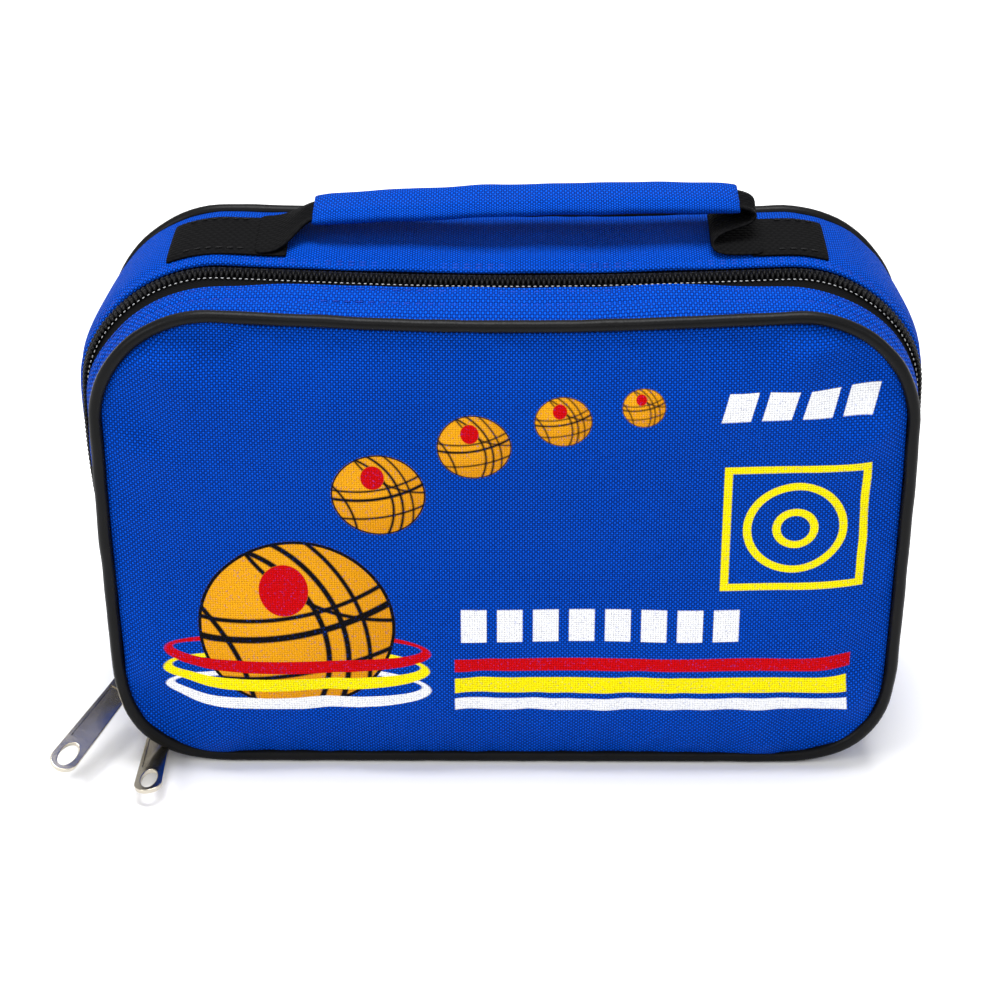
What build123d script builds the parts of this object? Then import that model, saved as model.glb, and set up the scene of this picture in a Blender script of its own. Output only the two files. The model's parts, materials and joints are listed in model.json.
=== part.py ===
"""Six-boule lawn game set in a zipped carry bag.

Frame: +Z up, the front cover faces -Y, the handle is on top, and the origin is the middle of the flat base.
The bag is a rounded-rectangle tube of cloth closed by a front and a rear panel. A zip splits it into a front
cover and a rear shell, which stay joined by a cloth hinge along the base. Everything is in millimetres.
"""

import math
import os

from build123d import *

# Bag outline: a rounded rectangle in XZ that every band of the bag follows.
half_width = 118.0
height = 156.0
corner = 36.0
half_depth = 35.0  # from the middle to the seam of either panel
bulge = 5.4  # how far a panel stands proud of its seam

# Cloth, foam and lining.
cloth = 1.2
hem = 2.3  # the band folded under itself beside the zip
hem_width = 4.4
panel_cloth = 0.8
foam = 2.0
lining = 0.4
seam_clear = 0.1
piping_radius = 1.8
piping_proud = 1.2  # how far the piping stands out from the sides and top
binding_width = 4.0
binding = 1.1

# Zip: its mid-plane leans back from the hinge line, so the cover is deeper at the top.
hinge_y = -18.0
zip_lean = math.degrees(math.atan2(10.0, 150.0))
zip_gap = 12.0  # between the two hems
tape = 0.6
tape_width = 9.0  # each tape, from the coil's edge out under the hem
coil_height = 2.2
coil_inner = 0.15  # each coil's distance from the mid-plane
divided_inner = 1.2  # the same where a slider's divider runs
coil_outer = 2.9
zip_end_x = 91.0
stub_top_z = 44.0
tab_reach = 90.6

# Boules and jack.
boule_radius = 36.0
boule_bore = 29.5
boule_gap = 0.6
boule_lift = 3.2
groove_depth = 0.7
jack_radius = 15.0
jack_y = -12.0

# Sliders ride the lower left corner of the zip, at these angles up from the base.
slider_angles = {"a": 62.0, "b": 38.0}
slider_length = 11.0
slider_head = 9.4
slider_tail = 8.2
plate = 1.2
top_plate_base = 0.3
bottom_plate_top = -3.6
channel_half = 3.4
flange_depth = -1.9
divider_length = 2.5
divider_width = 1.6
crown_height = 4.9  # the crown bar's axis above the cloth
crown_bar = 1.6
crown_reach = 4.6

# Pull tabs: swing is the angle away from pointing straight forward, twist turns the tab about its own length.
pull_length = 42.0
pull_thick = 1.5
pull_head = 7.2
pull_back = 2.9  # from the eye to the rounded back end
pull_wide = 8.6
pull_eye = (4.8, 3.4)
pull_swing = {"a": 28.0, "b": 2.0}
pull_twist = {"a": 45.0, "b": 45.0}
finger_hole = (5.0, 9.4)  # across and along the tab
recess_depth = 0.35
rim = 1.0

# Handle.
webbing = 1.3
webbing_width = 25.0
webbing_y = 14.5
patch_outer = {"left": -98.0, "right": 94.0}
patch_inner = {"left": -64.0, "right": 72.0}
sleeve_ends = (-57.0, 69.0)
sleeve_rise = (8.2, 12.4)  # the webbing above the top of the bag at the two ends of the sleeve
sleeve_crown = 3.0  # how far the grip arches above a straight line
sleeve_cloth = 1.4
sleeve_width = 28.0
stitch = 0.4
stitch_width = 0.8


def face_at(y):
    """Sketch plane at depth y, with X to the right and Z up."""
    return Plane.XZ.offset(-y)


def zip_plane(distance=0.0):
    """Plane parallel to the zip's mid-plane, that far behind it."""
    lean = math.radians(zip_lean)
    normal = Vector(0, math.cos(lean), -math.sin(lean))
    return Plane(origin=Vector(0, hinge_y, 0) + normal * distance, x_dir=(1, 0, 0), z_dir=normal)


def outline(inset, bottom_inset=None):
    """The bag's rounded rectangle, drawn inward by inset."""
    low = inset if bottom_inset is None else bottom_inset
    tall = height - inset - low
    with Locations((0, low + tall / 2)):
        RectangleRounded(2 * (half_width - inset), tall, corner - inset)


def ring(outer, inner, y0, y1):
    """Adds a band that follows the outline from depth y0 to depth y1, between two insets."""
    with BuildSketch(face_at(y0)) as band:
        outline(outer)
        with BuildSketch(face_at(y0), mode=Mode.SUBTRACT):
            outline(inner)
    extrude(band.sketch, amount=-(y1 - y0))


def slab(low, high, mode=Mode.INTERSECT):
    """Keeps or removes what lies between two planes parallel to the zip's mid-plane."""
    with BuildSketch(zip_plane(low)) as section:
        Rectangle(400, 700)
    extrude(section.sketch, amount=high - low, mode=mode)


def box_between(low, high, mode):
    """A block between two corners."""
    with Locations(((low[0] + high[0]) / 2, (low[1] + high[1]) / 2, (low[2] + high[2]) / 2)):
        Box(high[0] - low[0], high[1] - low[1], high[2] - low[2], mode=mode)


def save(part, name):
    print(name, round(part.volume), len(part.solids()))
    part.label = name
    export_step(part, f"parts/{name}.step")


# The front of the bag is side -1 and the rear is side +1.
def band_reach(side):
    """Depths between which a side's gusset is first drawn, before the zip's plane trims it."""
    edge = half_depth - piping_radius + 0.2
    return (-edge, 12.0) if side < 0 else (-30.0, edge)


def zip_side(side, near, far, mode=Mode.INTERSECT):
    """Trims to a stretch of one side of the zip, measured out from its mid-plane."""
    if side < 0:
        slab(-far, -near, mode)
    else:
        slab(near, far, mode)


def gusset(side):
    """Cloth band from the panel's seam to the zip, with a folded hem beside the zip."""
    y0, y1 = band_reach(side)
    with BuildPart() as folded:
        ring(0, hem, y0, y1)
        zip_side(side, zip_gap / 2, zip_gap / 2 + hem_width)
    with BuildPart() as band:
        ring(0, cloth, y0, y1)
        zip_side(side, zip_gap / 2, 90)
        add(folded.part)
    return band.part


def zip_band(side, outer, inner, near, far, stub):
    """Part of the zip that follows the outline. stub picks the short stretch at the sliders, or what is left."""
    corner_low, corner_high = (-half_width - 5, -60, -5), (-zip_end_x, 60, stub_top_z)
    with BuildPart() as divided:
        box_between(corner_low, corner_high, Mode.ADD)
        slab(-divided_inner, divided_inner)
    with BuildPart() as strip:
        ring(outer, inner, -half_depth + 3, half_depth - 3)
        zip_side(side, near, far)
        add(divided.part, mode=Mode.SUBTRACT)
        box_between((-zip_end_x, -60, -5), (zip_end_x, 60, 20), Mode.SUBTRACT)
        if stub is True:
            box_between(corner_low, corner_high, Mode.INTERSECT)
        elif stub is False:
            box_between(corner_low, corner_high, Mode.SUBTRACT)
    return strip.part


def panel(side):
    """Pillow-shaped cloth panel, open behind."""
    seam = half_depth - 0.5
    deep = half_depth + bulge - seam
    inset = piping_radius - piping_proud + piping_radius
    with BuildPart() as cavity:
        with BuildSketch(face_at(side * seam)):
            outline(inset + panel_cloth)
        extrude(amount=-side * (deep - panel_cloth))
        far = cavity.faces().sort_by(Axis.Y)[0 if side < 0 else -1]
        fillet(far.edges(), deep - panel_cloth - 0.2)
    with BuildPart() as pillow:
        with BuildSketch(face_at(side * seam)):
            outline(inset)
        extrude(amount=-side * deep)
        far = pillow.faces().sort_by(Axis.Y)[0 if side < 0 else -1]
        fillet(far.edges(), deep - 0.2)
        add(cavity.part, mode=Mode.SUBTRACT)
    return pillow.part


def foam_sheet(side):
    """Flat padding behind the middle of a panel."""
    face = half_depth + bulge - panel_cloth
    with BuildPart() as sheet:
        with BuildSketch(face_at(side * (face - foam))):
            outline(9.0)
        extrude(amount=-side * foam)
    return sheet.part


def lining_tray(side):
    """Inner cloth: a floor behind the foam, a step over the seam, and a wall along the gusset."""
    floor = half_depth + bulge - panel_cloth - foam
    step = half_depth - 2.0
    inset = 4.4
    wall = cloth + seam_clear
    floor_reach = sorted((side * floor, side * (floor - lining)))
    riser_reach = sorted((side * (floor - lining), side * step))
    step_reach = sorted((side * step, side * (step - lining)))
    with BuildPart() as wall_band:
        ring(wall, wall + lining, *((-step, 10) if side < 0 else (-30, step)))
        zip_side(side, zip_gap / 2 + hem_width + 0.2, 90)
    with BuildPart() as tray:
        with BuildSketch(face_at(floor_reach[0])):
            outline(inset)
        extrude(amount=-lining)
        ring(inset, inset + lining, *riser_reach)
        ring(wall, inset + lining, *step_reach)
        add(wall_band.part)
    return tray.part


def seam_binding(side):
    """Tape that wraps the raw seam inside the bag."""
    inner = half_depth - 2.0 - lining
    inset = cloth + seam_clear + lining
    reach = sorted((side * inner, side * (inner - binding_width)))
    with BuildPart() as tape_ring:
        ring(inset, inset + binding, *reach)
    return tape_ring.part


def piping_path(side):
    """Centre line of the piping: flush with the base, proud at the sides and top."""
    proud = piping_radius - piping_proud
    wide = half_width - proud
    low, high = piping_radius, height - proud
    turn = corner - proud
    with BuildLine(face_at(side * (half_depth + 0.2))) as path:
        FilletPolyline(
            (0.01, low), (wide, low), (wide, high), (-wide, high), (-wide, low), (-0.01, low), radius=turn
        )
    return path


def piping(side):
    """Round cord in the seam, sewn in as one length that meets itself at the middle of the base."""
    path = piping_path(side)
    with BuildPart() as cord:
        with BuildSketch(Plane(origin=path.line @ 0, z_dir=path.line % 0)):
            Circle(piping_radius)
        sweep(path=path.line)
    return cord.part


def hinge_strip():
    """Cloth between the two hems along the base, on which the cover folds open."""
    with BuildPart() as strip:
        ring(0, cloth, -half_depth + 3, half_depth - 3)
        slab(-zip_gap / 2, zip_gap / 2)
        box_between((-zip_end_x + 8, -60, -5), (zip_end_x - 8, 60, 20), Mode.INTERSECT)
    return strip.part


def zip_end_tab(side):
    """Cloth tab over one end of the zip; side is -1 on the left."""
    x0, x1 = sorted((side * (zip_end_x - 8), side * tab_reach))
    with BuildPart() as tab:
        ring(0, cloth, -half_depth + 3, half_depth - 3)
        slab(-zip_gap / 2, zip_gap / 2)
        box_between((x0, -60, -5), (x1, 60, 20), Mode.INTERSECT)
    return tab.part


def groove_rings(levels):
    """Cutters for rings about Z at the given heights."""
    with BuildPart() as rings:
        for level in levels:
            with BuildSketch(Plane.XZ):
                with Locations((math.sqrt(boule_radius**2 - level**2), level)):
                    Circle(groove_depth)
            revolve(axis=Axis.Z)
    return rings.part


def boule(levels, crossed):
    """Hollow steel ball about the origin, with grooves about Z at the given levels, and again about X if crossed."""
    with BuildPart() as ball:
        with BuildSketch(Plane.XZ):
            Circle(boule_radius)
            Circle(boule_bore, mode=Mode.SUBTRACT)
            with Locations((-boule_radius, 0)):
                Rectangle(2 * boule_radius, 3 * boule_radius, mode=Mode.SUBTRACT)
            for level in levels:
                with Locations((math.sqrt(boule_radius**2 - level**2), level)):
                    Circle(groove_depth, mode=Mode.SUBTRACT)
        revolve(axis=Axis.Z)
        if crossed:
            add(Rot(0, 90, 0) * groove_rings(levels), mode=Mode.SUBTRACT)
    return ball.part


def place_boules():
    """Two rows of three boules: pairs share a groove pattern, and each is turned its own way."""
    pitch = 2 * boule_radius + boule_gap
    patterns = [((-12.0, 0.0, 12.0), False), ((-16.4, -13.6, 13.6, 16.4), False), ((-3.0, 3.0), True)]
    turns = [(20, 35, 0), (-35, 10, 40), (60, -25, 15), (-15, 50, 70), (40, 20, -30), (-55, -40, 10)]
    for index, turn in enumerate(turns):
        column, row = index % 3, index // 3
        centre = ((column - 1) * pitch, 0, boule_lift + boule_radius + row * pitch)
        ball = boule(*patterns[(column + row) % 3])
        save(Location(centre, turn) * ball, f"boule_{index + 1}")


def jack():
    """Wooden target ball in the space between four boules."""
    pitch = 2 * boule_radius + boule_gap
    with BuildPart() as ball:
        with Locations((pitch / 2, jack_y, boule_lift + boule_radius + pitch / 2)):
            Sphere(jack_radius)
    return ball.part


def corner_frame(angle):
    """Frame on the zip's lower left corner: x along the zip (up), y across it (to the rear), z outward."""
    turn = math.radians(angle)
    centre = Vector(-(half_width - corner), hinge_y, corner)
    outward = Vector(-math.sin(turn), 0, -math.cos(turn))
    along = Vector(-math.cos(turn), 0, math.sin(turn))
    upright = Plane(origin=centre + outward * corner, x_dir=along, z_dir=outward)
    return lean_plane(upright)


def lean_plane(plane):
    """The plane turned about the hinge line by the zip's lean."""
    lean = Location((0, hinge_y, 0)) * Rot(-zip_lean, 0, 0) * Location((0, -hinge_y, 0))
    return Plane(lean * plane.location)


def slider_body():
    """Slider in the corner frame: two plates joined by a divider, side flanges, and a crown on top."""
    half = slider_length / 2
    top = top_plate_base + plate
    with BuildPart() as body:
        with BuildSketch(Plane.XY.offset(top_plate_base)) as plan:
            with BuildLine():
                Polyline(
                    (-half, -slider_tail / 2), (half - 2.5, -slider_head / 2), (half, -slider_head / 2 + 1.6),
                    (half, slider_head / 2 - 1.6), (half - 2.5, slider_head / 2), (-half, slider_tail / 2),
                    close=True,
                )
            make_face()
            fillet(plan.vertices().group_by(Axis.X)[0], 0.6)
        extrude(plan.sketch, amount=plate)
        extrude(plan.sketch.moved(Location((0, 0, bottom_plate_top - top_plate_base))), amount=-plate)
        with BuildSketch(Plane.XY.offset(top_plate_base)) as flanges:
            add(plan.sketch_local)
            Rectangle(slider_length + 2, 2 * channel_half, mode=Mode.SUBTRACT)
        extrude(flanges.sketch, amount=flange_depth - top_plate_base)
        with Locations((half - divider_length, 0, (top_plate_base + bottom_plate_top) / 2)):
            Box(divider_length, divider_width, top_plate_base - bottom_plate_top + 0.4)
    with BuildPart() as crown:
        with BuildSketch(Plane.XZ):
            with BuildLine():
                FilletPolyline(
                    (-crown_reach, top - 0.2), (-crown_reach, crown_height), (crown_reach, crown_height),
                    (crown_reach, top - 0.2), radius=1.6,
                )
                offset(amount=crown_bar / 2, side=Side.BOTH, closed=True)
            make_face()
        extrude(amount=crown_bar / 2, both=True)
        long_edges = crown.edges().filter_by(GeomType.LINE).filter_by(Axis.X)
        fillet(long_edges, 0.35)
    with BuildPart() as whole:
        add(body.part)
        add(crown.part)
    return whole.part


def pull_tab():
    """Tab about its eye: x along the tab, y across it, z through it."""
    neck = 7.0
    tip = pull_length - pull_wide / 2
    hole_at = pull_length - 1.7 - finger_hole[1] / 2
    with BuildPart() as tab:
        with BuildSketch(Plane.XY.offset(-pull_thick / 2)) as plan:
            with BuildLine():
                shoulder = pull_head / 2 - pull_back
                Line((shoulder, -pull_head / 2), (neck, -pull_head / 2))
                Line((neck, -pull_head / 2), (tip, -pull_wide / 2))
                ThreePointArc((tip, -pull_wide / 2), (pull_length, 0), (tip, pull_wide / 2))
                Line((tip, pull_wide / 2), (neck, pull_head / 2))
                Line((neck, pull_head / 2), (shoulder, pull_head / 2))
                ThreePointArc((shoulder, pull_head / 2), (-pull_back, 0), (shoulder, -pull_head / 2))
            make_face()
            RectangleRounded(pull_eye[1], pull_eye[0], 0.8, mode=Mode.SUBTRACT)
            with Locations((hole_at, 0)):
                Ellipse(finger_hole[1] / 2, finger_hole[0] / 2, mode=Mode.SUBTRACT)
        extrude(amount=pull_thick)
        rounded = tab.faces().filter_by(Axis.Z)
        fillet(rounded.edges(), 0.25)
        panel_start, panel_end = neck - 2.0, hole_at - finger_hole[1] / 2 - 1.6
        for level, way in ((pull_thick / 2, -1), (-pull_thick / 2, 1)):
            with BuildSketch(Plane.XY.offset(level)):
                with BuildLine():
                    narrow = pull_head / 2 - rim
                    wide = pull_wide / 2 - rim - 0.3
                    Polyline(
                        (panel_start, -narrow), (panel_end, -wide), (panel_end, wide), (panel_start, narrow),
                        close=True,
                    )
                make_face()
            extrude(amount=way * recess_depth, mode=Mode.SUBTRACT)
    return tab.part


def pull_frame(name):
    """Frame of a pull on its slider: x along the tab, y across it, z through it."""
    frame = corner_frame(slider_angles[name])
    swing = math.radians(pull_swing[name])
    twist = math.radians(pull_twist[name])
    eye = frame.origin + frame.z_dir * crown_height
    along = frame.y_dir * -math.cos(swing) + frame.z_dir * math.sin(swing)
    through = frame.x_dir
    across = through.cross(along)
    turned = through * math.cos(twist) + across * math.sin(twist)
    return Plane(origin=eye, x_dir=along, z_dir=turned)


def webbing_patch(name):
    """End of the webbing, sewn flat to the top of the bag."""
    outer, inner = sorted((patch_outer[name], patch_inner[name]))
    with BuildPart() as patch:
        ring(-webbing, -0.02, webbing_y - webbing_width / 2, webbing_y + webbing_width / 2)
        box_between((outer, -60, height - 40), (inner, 60, height + 10), Mode.INTERSECT)
    return patch.part


def patch_stitches(name):
    """Thread sewn round the edge of a webbing end."""
    low, high = sorted((patch_outer[name], patch_inner[name]))
    low, high = low + 2.5, high - 2.5
    front, back = webbing_y - webbing_width / 2 + 2.5, webbing_y + webbing_width / 2 - 2.5
    with BuildPart() as thread:
        ring(-webbing - stitch, -webbing, front, back)
        box_between((low, -60, height - 40), (high, 60, height + 10), Mode.INTERSECT)
        inner_low = (low + stitch_width, front + stitch_width, height - 40)
        inner_high = (high - stitch_width, back - stitch_width, height + 10)
        box_between(inner_low, inner_high, Mode.SUBTRACT)
    return thread.part


def strap_from(path, width, thick, hollow=None):
    """A flat strap along a line in the XZ plane, with a flat opening through it if hollow is given."""
    with BuildPart() as strap:
        with BuildSketch(Plane(origin=path @ 0, x_dir=(0, 1, 0), z_dir=path % 0)):
            Rectangle(width, thick)
            if hollow:
                Rectangle(*hollow, mode=Mode.SUBTRACT)
        sweep(path=path)
    return strap.part


def grip_line():
    """Middle line of the webbing inside the sleeve."""
    left = (sleeve_ends[0], height + sleeve_rise[0])
    right = (sleeve_ends[1], height + sleeve_rise[1])
    middle = ((left[0] + right[0]) / 2, (left[1] + right[1]) / 2 + sleeve_crown)
    with BuildLine(face_at(webbing_y)) as line:
        ThreePointArc(left, middle, right)
    return line.line


def leg_line(name):
    """Middle line of the webbing between a sewn end and the sleeve."""
    base = height + webbing / 2
    with BuildLine(face_at(webbing_y)) as line:
        if name == "left":
            FilletPolyline(
                (patch_inner["left"] + 0.05, base), (patch_inner["left"] + 1.6, base),
                (sleeve_ends[0] - 2.2, height + sleeve_rise[0] - 0.3),
                (sleeve_ends[0] - 0.05, height + sleeve_rise[0]), radius=0.9,
            )
        else:
            FilletPolyline(
                (patch_inner["right"] - 0.05, base), (patch_inner["right"] - 5.0, base),
                (patch_inner["right"] - 3.0, base + 5.2), (patch_inner["right"] + 9.0, base + 5.6),
                (patch_inner["right"] + 5.0, height + sleeve_rise[1]),
                (sleeve_ends[1] + 0.05, height + sleeve_rise[1]), radius=1.5,
            )
    return line.line


def handle_sleeve():
    """Cloth sleeve round the webbing, which the hand holds."""
    hollow = (webbing_width + 0.4, webbing + 0.2)
    return strap_from(grip_line(), sleeve_width, webbing + 2 * sleeve_cloth, hollow)


def main():
    os.makedirs("parts", exist_ok=True)
    for side, name in ((-1, "front"), (1, "rear")):
        save(panel(side), f"{name}_panel")
        save(foam_sheet(side), f"{name}_foam")
        save(lining_tray(side), f"{name}_lining")
        save(seam_binding(side), f"{name}_seam_binding")
        save(piping(side), f"{name}_piping")
        save(gusset(side), f"{name}_gusset")
        tape_span = (hem, hem + tape, coil_inner, coil_inner + tape_width)
        coil_span = (hem - coil_height, hem, coil_inner, coil_outer)
        whole = None if side < 0 else False
        save(zip_band(side, *tape_span, whole), f"{name}_zip_tape")
        save(zip_band(side, *coil_span, whole), f"{name}_zip_coil")
        if side > 0:
            save(zip_band(side, *tape_span, True), "rear_zip_tape_end")
            save(zip_band(side, *coil_span, True), "rear_zip_coil_end")
    save(hinge_strip(), "hinge_strip")
    for side, name in ((-1, "left"), (1, "right")):
        save(zip_end_tab(side), f"zip_end_tab_{name}")
        save(webbing_patch(name), f"handle_end_{name}")
        save(patch_stitches(name), f"handle_stitches_{name}")
        save(strap_from(leg_line(name), webbing_width, webbing), f"handle_leg_{name}")
    save(strap_from(grip_line(), webbing_width, webbing), "handle_core")
    save(handle_sleeve(), "handle_sleeve")
    place_boules()
    for name, angle in slider_angles.items():
        save(corner_frame(angle).location * slider_body(), f"slider_{name}")
        save(pull_frame(name).location * pull_tab(), f"pull_{name}")
    save(jack(), "jack")


main()
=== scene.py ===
import json
import math

import bmesh
import bpy
from mathutils import Matrix, Vector, noise


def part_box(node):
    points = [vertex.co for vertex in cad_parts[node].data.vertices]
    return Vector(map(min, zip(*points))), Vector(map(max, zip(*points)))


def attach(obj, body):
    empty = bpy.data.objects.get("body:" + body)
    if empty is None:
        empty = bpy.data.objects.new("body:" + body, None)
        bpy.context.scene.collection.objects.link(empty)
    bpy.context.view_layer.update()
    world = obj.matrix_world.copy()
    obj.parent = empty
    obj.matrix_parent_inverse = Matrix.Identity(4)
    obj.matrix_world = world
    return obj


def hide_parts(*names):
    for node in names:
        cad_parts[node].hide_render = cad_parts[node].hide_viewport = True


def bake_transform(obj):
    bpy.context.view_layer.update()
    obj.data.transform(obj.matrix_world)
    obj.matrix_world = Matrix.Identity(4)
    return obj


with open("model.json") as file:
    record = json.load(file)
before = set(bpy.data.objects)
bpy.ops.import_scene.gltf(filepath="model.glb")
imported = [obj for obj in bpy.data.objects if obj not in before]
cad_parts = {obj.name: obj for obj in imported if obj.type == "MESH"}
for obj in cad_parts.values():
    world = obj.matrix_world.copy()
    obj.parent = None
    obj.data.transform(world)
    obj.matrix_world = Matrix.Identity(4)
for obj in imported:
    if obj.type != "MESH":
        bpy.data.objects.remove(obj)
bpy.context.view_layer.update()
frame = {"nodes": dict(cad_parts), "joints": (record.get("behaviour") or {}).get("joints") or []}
print("frame loaded")

bandLow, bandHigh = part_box("front_gusset")
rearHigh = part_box("rear_gusset")[1]
joints = {joint["name"]: joint for joint in frame["joints"]}
leanAxis = joints["slider_a_run"]["axis"]

# the bag's outline and zip line, shared by every cloth piece
bag = {
    "half": bandHigh.x,
    "height": bandHigh.z,
    "corner": 0.036,
    "seam": {-1: bandLow.y, 1: rearHigh.y},
    "hingeY": joints["lid_hinge"]["pos_m"][1],
    "slope": -leanAxis[2] / leanAxis[1],
    "hem": 0.006,  # from the zip's middle to either hem
    "zipEnd": 0.0915,
}
sides = {-1: "front", 1: "rear"}
shells = {-1: "lid", 1: "rear_shell"}

# how the filled cloth differs from the flat outline
filling = {
    "depth": 0.07,
    "droop": 0.0042,  # sag of the top at its middle
    "swell": {-1: 0.0092, 1: 0.0068},  # how far the left and right ends belly out
    "bellyFront": 0.025,  # how far from the zip the ends still belly out
    "bellyRear": 0.034,
    "bellyFrom": 0.030,  # the height where that begins, and how tall the stretch is
    "bellyTall": 0.150,
    "square": 0.0030,  # how much squarer the front's low corners are
    "squareFrom": 0.024,
    "squareFade": 0.008,
}


def newMaterial(name, roughness=0.6, metallic=0.0, **extras):
    material = bpy.data.materials.new(name)
    material.use_nodes = True
    shader = material.node_tree.nodes["Principled BSDF"]
    shader.inputs["Roughness"].default_value = roughness
    shader.inputs["Metallic"].default_value = metallic
    for socket, value in extras.items():
        shader.inputs[socket.replace("_", " ")].default_value = value
    return material, material.node_tree, shader


def calc(tree, operation, *values):
    node = tree.nodes.new("ShaderNodeMath")
    node.operation = operation
    for socket, value in zip(node.inputs, values):
        if isinstance(value, (int, float)):
            socket.default_value = value
        else:
            tree.links.new(value, socket)
    return node.outputs[0]


def blendColour(tree, factor, first, second):
    node = tree.nodes.new("ShaderNodeMix")
    node.data_type = "RGBA"
    for socket, value in ((node.inputs[0], factor), (node.inputs[6], first), (node.inputs[7], second)):
        if isinstance(value, (int, float)):
            socket.default_value = value
        elif isinstance(value, tuple):
            socket.default_value = (*value, 1.0)
        else:
            tree.links.new(value, socket)
    return node.outputs[2]


def coordinates(tree, kind="Object"):
    return tree.nodes.new("ShaderNodeTexCoord").outputs[kind]


def between(tree, value, spot):
    return calc(tree, "ABSOLUTE", calc(tree, "SUBTRACT", value, spot))


def humps(tree, value, rate):
    # round humps side by side, from 0 to 1
    return calc(tree, "ABSOLUTE", calc(tree, "SINE", calc(tree, "MULTIPLY", value, rate)))


def addPattern(tree, kind, **values):
    node = tree.nodes.new(kind)
    for socket, value in values.items():
        node.inputs[socket].default_value = value
    tree.links.new(coordinates(tree), node.inputs["Vector"])
    return node


def addNoise(tree, scale, detail=3.0):
    return addPattern(tree, "ShaderNodeTexNoise", Scale=scale, Detail=detail, Roughness=0.5).outputs["Fac"]


def addBump(tree, shader, height, distance, strength=1.0):
    node = tree.nodes.new("ShaderNodeBump")
    node.inputs["Distance"].default_value = distance
    node.inputs["Strength"].default_value = strength
    tree.links.new(height, node.inputs["Height"])
    tree.links.new(node.outputs["Normal"], shader.inputs["Normal"])


def setColour(tree, shader, factor, first, second):
    tree.links.new(blendColour(tree, factor, first, second), shader.inputs["Base Color"])


def surfaceRun(tree):
    # how far a point is along and across the cloth, in metres
    node = tree.nodes.new("ShaderNodeSeparateXYZ")
    tree.links.new(coordinates(tree, "UV"), node.inputs[0])
    return node.outputs[0], node.outputs[1]


def plainWeave(tree, u, v, pitch):
    # height of crossing threads, which thread is on top, and how far up it is
    across = calc(tree, "DIVIDE", u, pitch)
    down = calc(tree, "DIVIDE", v, pitch)
    warp = humps(tree, across, math.pi)
    weft = humps(tree, down, math.pi)
    cells = calc(tree, "ADD", calc(tree, "FLOOR", across), calc(tree, "FLOOR", down))
    over = calc(tree, "FLOORED_MODULO", cells, 2.0)
    under = calc(tree, "SUBTRACT", 1.0, over)
    rounded = calc(tree, "ADD", calc(tree, "MULTIPLY", calc(tree, "POWER", warp, 0.5), over),
                   calc(tree, "MULTIPLY", calc(tree, "POWER", weft, 0.5), under))
    return rounded, over, calc(tree, "MULTIPLY", warp, weft)


bagCloth = {
    "pitch": 0.00074,
    # deep and litBlue are the cloth's blue with painted shade for the gaps between threads and painted
    # highlight for the threads' crowns
    "deep": (0.0001, 0.002, 0.045),
    "litBlue": (0.0002, 0.088, 0.68),
    "relief": 0.00030,
    "roughness": 0.62,
    "gloss": 0.03,
}


def clothColour(tree, u, v):
    height, over, crossing = plainWeave(tree, u, v, bagCloth["pitch"])
    uneven = addNoise(tree, 900.0, 2.0)
    patchy = addNoise(tree, 26.0, 3.0)
    # painted highlight and shade: colour runs from dark in the gaps between threads to light on their crowns,
    # lighter still on the threads on top; uneven and patchy add random tone
    raised = calc(tree, "MULTIPLY_ADD", over, 1.00, 0.25)  # threads on top catch more light
    shade = calc(tree, "MULTIPLY_ADD", crossing, raised, calc(tree, "MULTIPLY", uneven, 0.26))
    shade = calc(tree, "MULTIPLY_ADD", patchy, 0.12, shade)
    colour = blendColour(tree, shade, bagCloth["deep"], bagCloth["litBlue"])
    relief = calc(tree, "ADD", height, calc(tree, "MULTIPLY", uneven, 0.35))
    return colour, relief


def newCloth(name):
    return newMaterial(name, bagCloth["roughness"], Specular_IOR_Level=bagCloth["gloss"])


def makeBagCloth():
    material, tree, shader = newCloth("bagCloth")
    u, v = surfaceRun(tree)
    colour, relief = clothColour(tree, u, v)
    tree.links.new(colour, shader.inputs["Base Color"])
    addBump(tree, shader, relief, bagCloth["relief"])
    return material


# the print on the front, in metres from the middle of the base
artwork = {
    "bigBall": ((-0.0620, 0.0540), 0.0294),
    "smallBalls": [
        ((-0.0368, 0.1000), 0.0138), ((-0.0088, 0.1168), 0.0108), ((0.0168, 0.1256), 0.0083),
        ((0.0398, 0.1300), 0.0062),
    ],
    "rings": [
        ((-0.0622, 0.0448), (0.0400, 0.0076), "red"),
        ((-0.0626, 0.0388), (0.0400, 0.0080), "yellow"),
        ((-0.0622, 0.0320), (0.0400, 0.0082), "white"),
    ],
    "ringWidth": 0.0022,
    "stripes": [
        ((-0.0150, 0.0386), (0.1040, 0.0430), "red"),
        ((-0.0150, 0.0306), (0.1030, 0.0362), "yellow"),
        ((-0.0150, 0.0240), (0.1030, 0.0284), "white"),
    ],
    "dashes": [(0.0672, 0.1294), (0.0788, 0.1294), (0.0904, 0.1294), (0.1020, 0.1294)],
    "blocks": {"start": -0.0092, "end": 0.0660, "level": 0.0546, "count": 8, "half": (0.0038, 0.0056)},
    "dashHalf": (0.0042, 0.0045),
    "dashSlant": 0.25,
    "frame": ((0.0848, 0.0882), 0.0212, 0.0024),  # middle, half its side, and line width
    "targets": (0.0140, 0.0055),
    # grooves on a ball of radius one: middle of each arc, its radius and half its width
    "grooves": [
        ((-1.1, -0.4), 1.42, 0.030), ((-1.1, -0.4), 1.62, 0.030), ((-1.1, -0.4), 1.84, 0.024),
        ((-0.5, 2.4), 2.34, 0.026), ((-0.5, 2.4), 2.56, 0.040), ((-0.5, 2.4), 3.02, 0.026),
        ((0.9, 1.7), 1.62, 0.024), ((-2.6, -1.2), 2.16, 0.028),
    ],
    "gold": (0.82, 0.36, 0.008),
    "red": (0.55, 0.001, 0.003),
    "yellow": (0.90, 0.78, 0.002),
    "white": (0.86, 0.87, 0.90),
    "dark": (0.004, 0.003, 0.003),
    "edge": 0.00028,
}


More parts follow.
